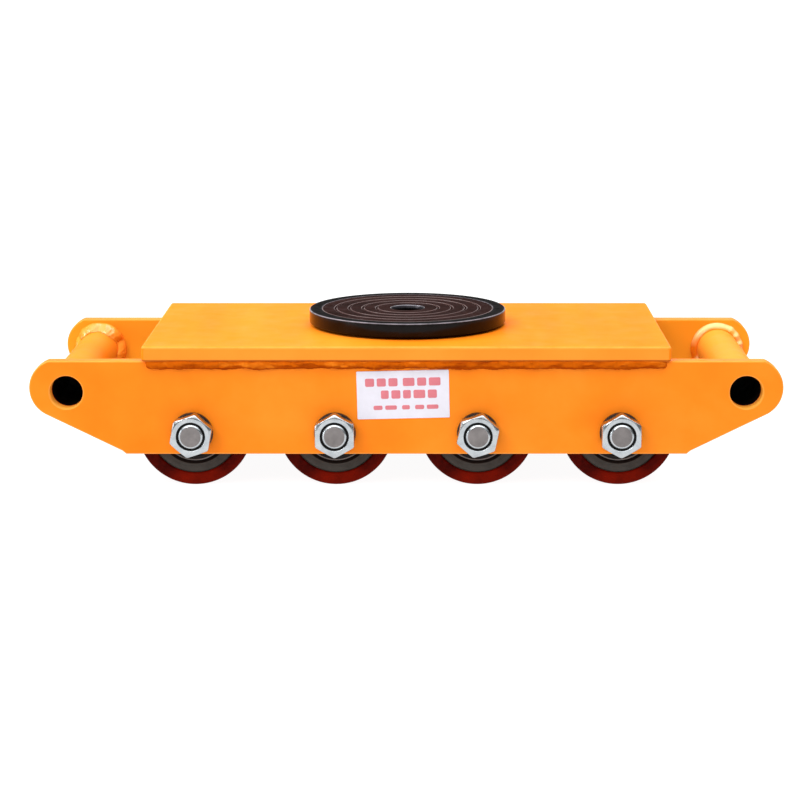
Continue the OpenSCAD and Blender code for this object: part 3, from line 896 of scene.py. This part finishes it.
def build_spacers():
    lo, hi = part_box("flat_washers")
    bore, outer = AXLE_R + FIT, AXLE_R + 4 * MM
    face, inner_face = -WHEEL_MID_Y + FACE_OUT, -WHEEL_MID_Y - FACE_OUT
    near, far = inner_face + BEARING_W, face - BEARING_W
    stacks = (
        ("washers", "flat_washers", AXLE_R + 0.5 * MM, 18.5 * MM, [(lo.y, hi.y)]),
        ("side_rings", "side_spacers", bore, outer, [(-HALF_IN, -face), (face, HALF_IN)]),
        ("middle_rings", "middle_spacers", bore, outer, [(-inner_face, inner_face)]),
        ("bearing_tubes", "bearing_sleeves", bore, outer, [(-far, -near), (near, far)]),
    )
    for name, node, inner, rim, spans in stacks:
        rings = [lathe(rectangle(inner, low, rim, high, 0.4 * MM, 3), 72) for low, high in spans]
        add(name, node, "zinc_steel", at_axles(rings), [zinc_steel])


# ---- bearings and wheels
def groove(radius, shoulder, inward):
    """Points of a ball groove cut into a race, from low to high, bulging inward or outward."""
    reach = degrees(acos(shoulder / GROOVE_R))
    start, end = (180 + reach, 180 - reach) if inward else (-reach, reach)
    return arc(radius, 0, GROOVE_R, start, end, 12)


def inner_race(mid):
    shoulder, half = BEARING_PITCH_R - RACE_SHOULDER, BEARING_W / 2
    bore = AXLE_R + FIT
    upper = [(shoulder, half - 0.3 * MM), (shoulder - 0.3 * MM, half), (bore + 0.5 * MM, half),
             (bore, half - 0.5 * MM)]
    cut = groove(BEARING_PITCH_R, RACE_SHOULDER, inward=True)
    return moved(lathe(mirrored(upper) + cut + upper), (0, mid, 0))


def outer_race(mid):
    """The outer race, with a seat at each face for its seal."""
    shoulder, half = BEARING_PITCH_R + RACE_SHOULDER, BEARING_W / 2
    edge, seat = 0.5 * MM, half - 1.6 * MM
    lower = [(shoulder, -seat), (SEAL_R, -seat), (SEAL_R, 0.2 * MM - half), (SEAL_R + 0.2 * MM, -half),
             (BEARING_R - edge, -half), (BEARING_R - 0.15 * MM, 0.15 * MM - half), (BEARING_R, edge - half)]
    cut = groove(BEARING_PITCH_R, RACE_SHOULDER, inward=False)
    return moved(lathe(lower + mirrored(lower) + cut[::-1], 128), (0, mid, 0))


def seal(face, into):
    """A rubber sealing disc set just behind a bearing's face. into is +1 or -1, towards the balls."""
    inner = BEARING_PITCH_R - RACE_SHOULDER + 0.3 * MM
    outer = SEAL_R - 0.05 * MM
    step_r = outer - 2.2 * MM
    points = [(outer, 0.35), (step_r, 0.4), (step_r - 0.5 * MM, 0.8), (inner + 0.9 * MM, 0.8), (inner, 1.1)]
    near = [(r, face + into * depth * MM) for r, depth in points]
    return lathe(near + [(r, height + into * 0.5 * MM) for r, height in reversed(near)])


def ball(centre, radius):
    slopes = [pi * k / 14 for k in range(15)]
    return moved(lathe([(radius * sin(a), -radius * cos(a)) for a in slopes], 20), centre)


def crown_cage(mid):
    """A moulded crown ring on one side of the balls, scalloped round each of them."""
    pocket, back = BALL_R + 0.1 * MM, 6 * MM
    inner, outer = BEARING_PITCH_R - 1.8 * MM, BEARING_PITCH_R + 1.8 * MM
    share = pi / BALLS
    rings = []
    for a in full_turn(BALLS * 16):
        nearest = (a + share) % (2 * share) - share
        off = 2 * BEARING_PITCH_R * abs(sin(nearest / 2))
        floor = max(1.8 * MM, sqrt(max(0.0, pocket ** 2 - off ** 2)) + 0.05 * MM)
        rings.append(turned([(inner, floor), (outer, floor), (outer, back), (inner, back)], a))
    return moved(swept(rings, closed=True), (0, mid, 0))


def build_inner_races():
    mids = [side * WHEEL_MID_Y + end * BEARING_MID for side in (-1, 1) for end in (-1, 1)]
    parts = at_axles([inner_race(mid) for mid in mids])
    add("inner_races", "bearing_inner_races", "bearing_steel", parts, [race_steel_y])


def wheel_meshes():
    """The meshes shared by the eight wheels, each centred on the wheel's own middle: by CAD node, the
    piece's short name, the mesh and its slot."""
    half = WHEEL_W / 2
    edge, seam, lip, mouth = 1.5 * MM, 1.3 * MM, 0.5 * MM, 2.2 * MM
    pocket = half - BEARING_W - BEARING_INSET
    corners = [(HUB_R, -half, seam), (WHEEL_R, -half, edge), (WHEEL_R, half, edge), (HUB_R, half, seam)]
    upper = [
        (HUB_R, half - 1.8 * MM), (HUB_R - 1.1 * MM, half - 0.9 * MM), (HUB_R - 2.4 * MM, half - lip),
        (BEARING_R + 4.0 * MM, half - lip), (BEARING_R + 3.6 * MM, half), (BEARING_R + mouth, half),
        (BEARING_R, half - mouth), (BEARING_R, pocket), (BEARING_R - 4 * MM, pocket),
    ]

    def hub_finish(centre):
        # The hub's mouth chamfer takes the black seal rubber: painted shade in the seam round the bearing
        return int(BEARING_R - 0.1 * MM < hypot(centre.x, centre.z) < BEARING_R + mouth - 0.1 * MM)

    def shell_finish(centre):
        return int(hypot(centre.x, centre.z) < SEAL_R + 0.05 * MM)

    shells, balls = [], []
    for mid in (-BEARING_MID, BEARING_MID):
        shells += [outer_race(mid), seal(mid - BEARING_W / 2, 1), seal(mid + BEARING_W / 2, -1)]
        balls += [ball(turned([(BEARING_PITCH_R, mid)], a)[0], BALL_R) for a in full_turn(BALLS)]
        balls.append(crown_cage(mid))
    tread = [lathe(soften(corners, 8), 160)]
    hub = [lathe(mirrored(upper) + upper, 128)]
    shell_mesh = to_mesh("bearing_shells", shells, (race_ring_shaded, seal_black_and_seam_shade), 35, shell_finish)
    return {
        "tread": ("tyre", to_mesh("tread", tread, [red_polyurethane], 40), "red_polyurethane"),
        "hub": ("core", to_mesh("hub", hub, (iron, seal_black_and_seam_shade), 30, hub_finish), "cast_iron"),
        "bearing_shells": ("shells", shell_mesh, "bearing_steel"),
        "bearing_balls": ("balls", to_mesh("bearing_balls", balls, [race_steel_y], 40), "bearing_steel"),
    }


def build_wheels():
    meshes = wheel_meshes()
    for side, y in (("front", WHEEL_MID_Y), ("rear", -WHEEL_MID_Y)):
        for n in AXLES:
            for kind, (short, mesh, slot) in meshes.items():
                body = f"{'balls' if kind == 'bearing_balls' else 'wheel'}_{side}_{n}"
                place = (AXLE_X[n], y, AXLE_Z)
                piece(f"wheel_{short}_{side}_{n}", mesh, f"{kind}_{side}_{n}", slot, body, place)


# ---- turntable
def build_turntable():
    eye_r, pad_r, boss_r, bore = 13.3 * MM, 69 * MM, 29.5 * MM, 8.4 * MM
    table_r, high = disc_radius("load_table"), TABLE_HI.z
    recess_r, race_top = disc_radius("thrust_race_upper") + 0.1 * MM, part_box("thrust_race_upper")[1].z
    table_low = race_top - 3 * MM
    pad_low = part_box("grip_pad")[0].z
    floor = table_low - 8 * MM

    def table_finish(centre):
        return int(hypot(centre.x, centre.y) > table_r - 0.8 * MM)

    def pad_finish(centre):
        if hypot(centre.x, centre.y) < eye_r + 0.75 * MM and centre.z < high - 0.01 * MM:
            return 2
        # Lips and groove walls take the lighter rubber, a painted highlight
        return int(high - 0.8 * MM < centre.z < high - 0.02 * MM)

    corners = [
        (bore, TABLE_LO.z, 0.5 * MM), (boss_r, TABLE_LO.z, 1 * MM), (boss_r, race_top, 0),
        (recess_r, race_top, 0), (recess_r, table_low, 0.4 * MM), (table_r, table_low, 1.4 * MM),
        (table_r, high, 1.1 * MM), (pad_r, high, 0.35 * MM), (pad_r, pad_low, 0), (eye_r, pad_low, 0),
        (eye_r, floor, 0.5 * MM), (bore, floor, 0.3 * MM),
    ]
    table = lathe(soften(corners, 5), 192, "Z")
    add("table", "load_table", "black_enamel", [table], (enamel_top, enamel_wall), 40, table_finish,
        body="load_table")
    half_groove, depth, count, first, lip = 0.8 * MM, 1 * MM, 4, 25 * MM, 0.7 * MM
    corners = [(eye_r, pad_low, 0), (eye_r, high, 0.6 * MM)]
    for k in range(count):
        inner = first + k * (pad_r - first) / count - half_groove
        outer = inner + 2 * half_groove
        corners += [(inner, high, lip), (inner, high - depth, 0.25 * MM), (outer, high - depth, 0.25 * MM),
                    (outer, high, lip)]
    corners += [(pad_r, high, lip), (pad_r, pad_low, 0)]
    pad = lathe(soften(corners, 3), 192, "Z")
    add("pad", "grip_pad", "pad_rubber", [pad], (rubber, rubber_lip_highlight, worn_lip), 40, pad_finish,
        body="load_table")


def build_thrust_bearing():
    low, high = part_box("thrust_race_lower")[0].z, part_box("thrust_race_upper")[1].z
    mid, outer = (low + high) / 2, disc_radius("thrust_race_lower")
    pitch_r, groove_r, gap = 36.5 * MM, 5.4 * MM, 3.2 * MM
    lower_bore, upper_bore = 31 * MM, 29.5 * MM
    reach = degrees(asin(gap / groove_r))
    cut = arc(pitch_r, mid, groove_r, 360 - reach, 180 + reach, 14)
    lower = [(lower_bore, low), (outer, low), (outer, mid - gap), *cut, (lower_bore, mid - gap)]
    cut = arc(pitch_r, mid, groove_r, 180 - reach, reach, 14)
    upper = [(upper_bore, mid + gap), *cut, (outer, mid + gap), (outer, high), (upper_bore, high)]
    for name, profile, body in (("lower", lower, "frame"), ("upper", upper, "load_table")):
        race = lathe(profile, 128, "Z")
        add(f"thrust_{name}", f"thrust_race_{name}", "bearing_steel", [race], [race_steel_z], body=body)
    balls = [ball((pitch_r * cos(a), pitch_r * sin(a), mid), 5.1 * MM) for a in full_turn(20)]
    add("thrust_balls", "thrust_ball_ring", "bearing_steel", balls, [race_steel_z], body="thrust_ring")


def build_pivot():
    nut_lo, nut_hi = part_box("pivot_nut")
    washer_lo, washer_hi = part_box("pivot_washer")
    screw_lo, screw_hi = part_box("pivot_screw")
    radius, head_r, socket_r = 8 * MM, 12 * MM, 5 * MM
    low, high = screw_lo.z, screw_hi.z
    head_low, socket_low = high - 9 * MM, high - 5 * MM
    shaft = [(0, low), (radius - 1.4 * MM, low), (radius - 0.3 * MM, low + 1.1 * MM)]
    shaft += thread_profile(radius, low + 1.4 * MM, head_low - 12 * MM, 2 * MM, 1 * MM)
    shaft += [(radius, head_low), (head_r - 0.3 * MM, head_low), (head_r, head_low + 0.3 * MM)]
    shaft += arc(head_r - 1 * MM, high - 1 * MM, 1 * MM, 0, 90, 4)
    shaft += [(socket_r + 0.8 * MM, high), (socket_r, high - 0.5 * MM), (socket_r, socket_low),
              (0, socket_low)]
    add("pivot_bolt", "pivot_screw", "black_oxide_steel", [lathe(shaft, 96, "Z")], [screw_steel])
    ring = lathe(rectangle(PIVOT_BORE_R, washer_lo.z, 15 * MM, washer_hi.z, 0.3 * MM, 2), 72, "Z")
    add("pivot_ring", "pivot_washer", "zinc_steel", [ring], [zinc_steel])
    nut = spun(hex_block(12 * MM, nut_hi.z - nut_lo.z, radius + FIT, 1 * MM), 30)
    add("pivot_lock_nut", "pivot_nut", "zinc_steel", [moved(nut, (0, 0, nut_lo.z))], [zinc_steel], 28)


def dress_cage():
    """The thrust bearing's cage keeps its CAD shape and only gets its material."""
    mesh = frame["nodes"]["thrust_cage"].data
    mesh.materials.clear()
    mesh.materials.append(brass)


build_side_plates()
build_deck()
build_tie_tubes()
build_deck_welds()
build_tube_welds()
build_label()
build_axle_bolts()
build_axle_nuts()
build_spring_washers()
build_spacers()
build_inner_races()
build_wheels()
build_turntable()
build_thrust_bearing()
build_pivot()
dress_cage()


# ---- stage
def build_stage():
    mesh = bpy.data.meshes.new("floor_mesh")
    corners = [(-30, -30, 0), (30, -30, 0), (30, 30, 0), (-30, 30, 0)]
    mesh.from_pydata(corners, [], [(0, 1, 2, 3)])
    m = Material("pale_floor", (0.19, 0.19, 0.19), 0.9, 0.0)
    m.link(m.uneven(2, 3, 0.18, 0.2), m.shader["Base Color"])
    m.shader["Emission Color"].default_value = (1, 1, 1, 1)
    m.shader["Emission Strength"].default_value = 0.95
    mesh.materials.append(m.material)
    new_object("floor", mesh)
    build_world()
    for name, location, target_z, size, power in (
        ("top_light", (0, -0.9, 1.7), 0.1, (2.4, 0.25), 4.8),
        ("front_light", (-1.4, -2.3, 1.75), 0.06, (1.1, 0.8), 21),
        ("left_light", (-2.2, -0.8, 0.5), 0.06, (0.6, 0.8), 7.2),
        ("back_light", (0.3, 2.4, 1.6), 0.06, (1.8, 0.6), 6.6),
        ("back_panel", (0, 3.0, 0.72), 0.3, (3.0, 0.7), 7.2),
        ("glint_light", (-1.6, 0.5, 1.5), 0.08, (0.9, 0.8), 18),
    ):
        softbox(name, location, (0, 0, target_z), size, power)


def build_world():
    """A bright overhead dome that darkens towards the horizon, so flat tops aren't hazed over."""
    world = bpy.data.worlds.new("studio")
    bpy.context.scene.world = world
    world.use_nodes = True
    sky = Nodes(world.node_tree)
    height = sky.along_axes(sky.add("ShaderNodeTexCoord").outputs["Generated"])["Z"]
    light = sky.ramp(height, (0.0, 0.1), (0.45, 0.24), (0.8, 2.16), (1.0, 2.58))
    background = sky.tree.nodes["Background"].inputs
    sky.link(light, background["Color"])
    background["Strength"].default_value = 1.0


def softbox(name, location, target, size, power):
    """A rectangular area light that points at the target."""
    data = bpy.data.lights.new(name, "AREA")
    data.shape = "RECTANGLE"
    data.size, data.size_y = size
    data.energy = power
    light = new_object(name, data)
    light.location = location
    light.rotation_euler = (Vector(target) - Vector(location)).to_track_quat("-Z", "Y").to_euler()


def build_camera():
    """A long lens from the front, 11.5 degrees above the horizon."""
    data = bpy.data.cameras.new("camera")
    data.sensor_width = 36
    data.lens = 104.4
    data.shift_x, data.shift_y = -0.0375, 0.0009
    data.clip_start, data.clip_end = 0.05, 100
    camera = new_object("camera", data)
    camera.location = (0.0182, -1.8507, 0.4264)
    camera.rotation_euler = (radians(90 - 11.52), 0, 0)
    bpy.context.scene.camera = camera


build_stage()
build_camera()
bpy.context.scene.view_settings.view_transform = "Standard"
bpy.context.scene.cycles.use_denoising = True
